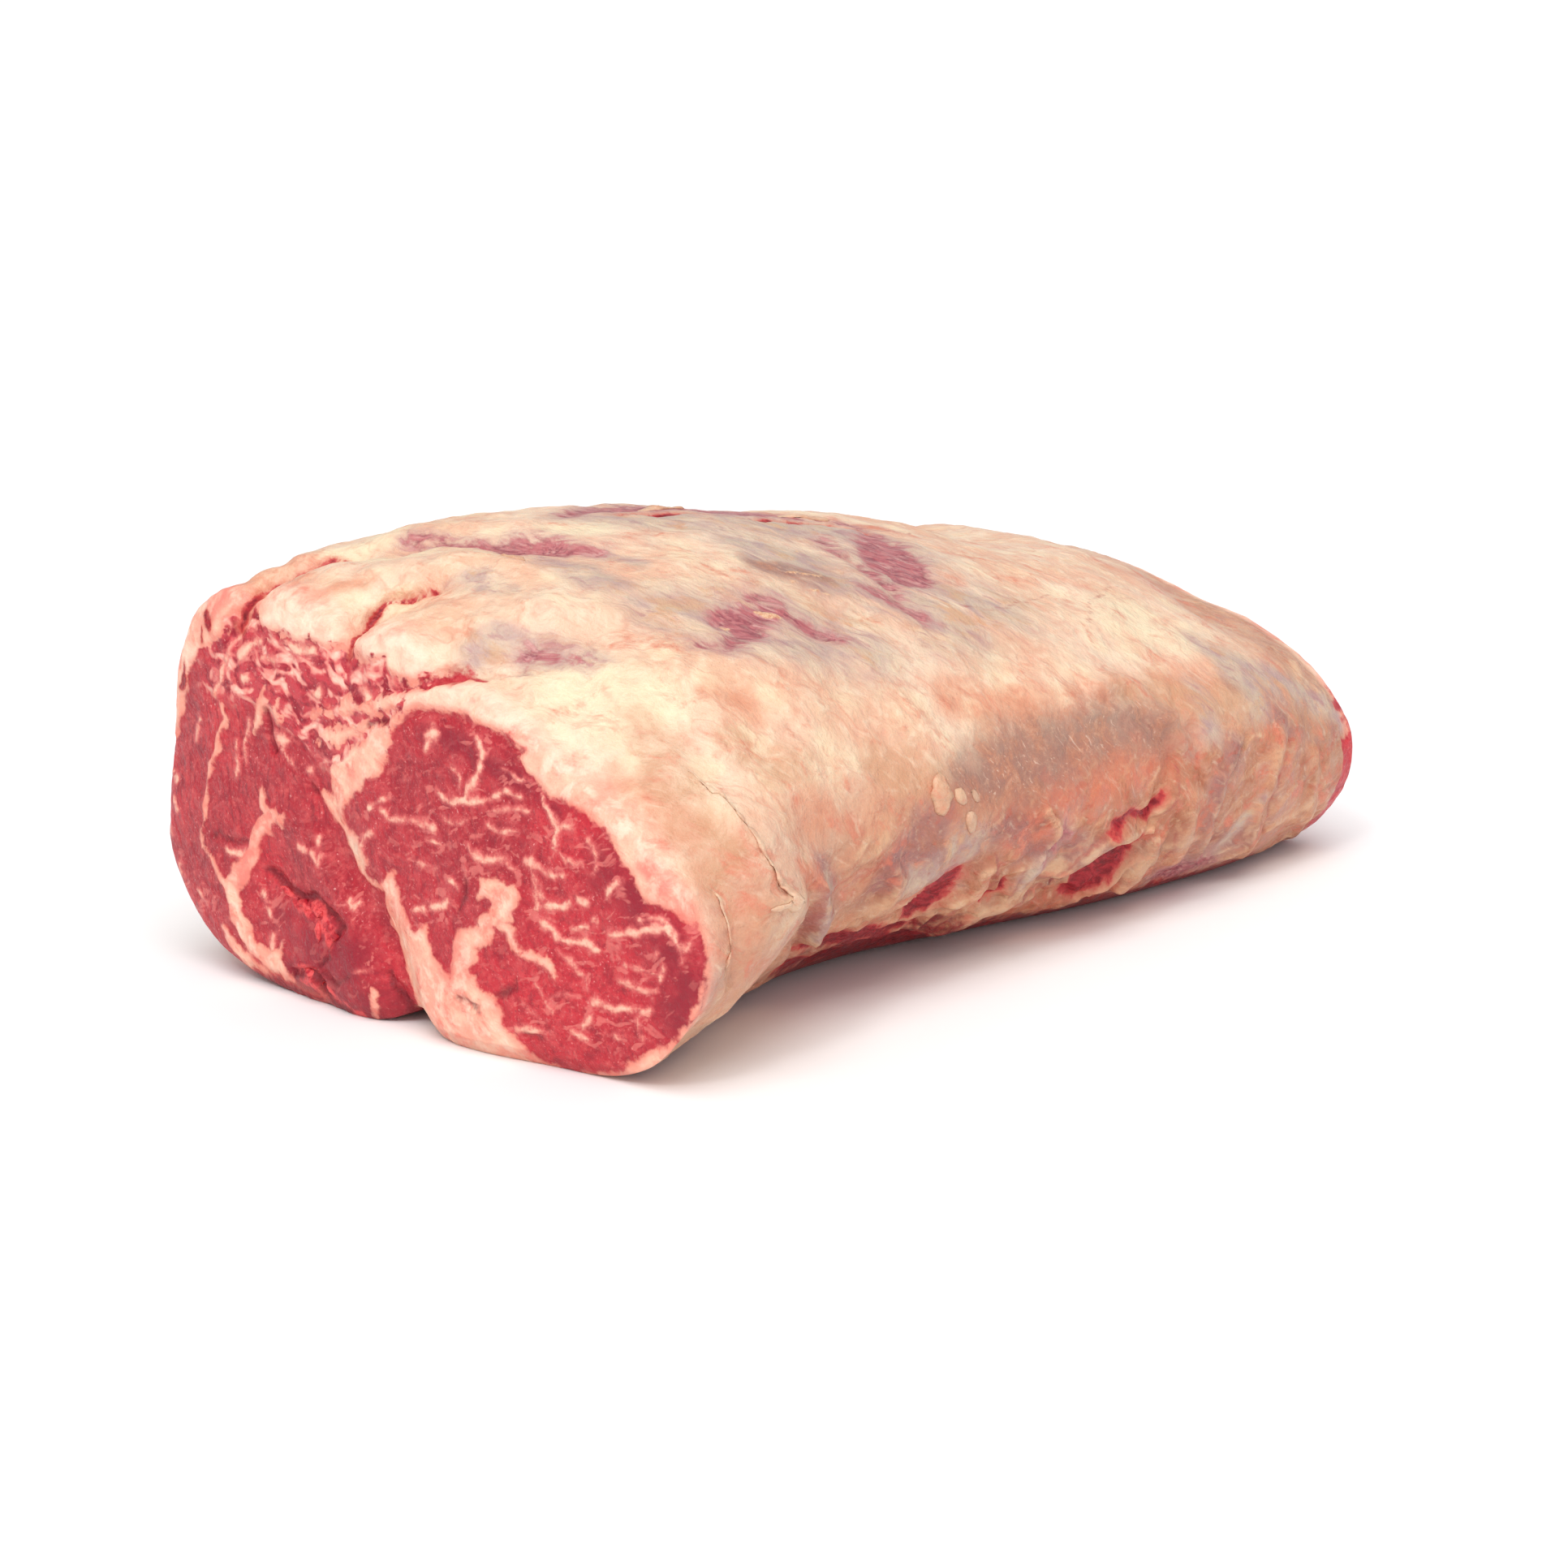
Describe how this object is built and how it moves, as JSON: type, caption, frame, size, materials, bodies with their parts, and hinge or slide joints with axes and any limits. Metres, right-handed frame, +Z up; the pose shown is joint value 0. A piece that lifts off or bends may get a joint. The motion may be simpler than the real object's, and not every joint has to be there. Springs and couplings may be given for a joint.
{
  "type": "raw boneless beef rib roast",
  "caption": "Whole raw boneless beef rib roast lying on its rib side, with a marbled cut face at the large end, a creamy fat cover and a smaller cut face behind.",
  "frame": {"origin": "middle of the bounding box, at the surface that the roast rests on", "axes": "+X along the loin from the large cut face to the small one, +Y across it towards the rib cap, +Z up"},
  "size_m": [0.378, 0.23, 0.1375],
  "materials": {
    "meat": "moist creamy fat cover, with marbled raw red muscle at the cut ends"
  },
  "bodies": {
    "root": {"rib_roast": "meat"}
  },
  "joints": []
}
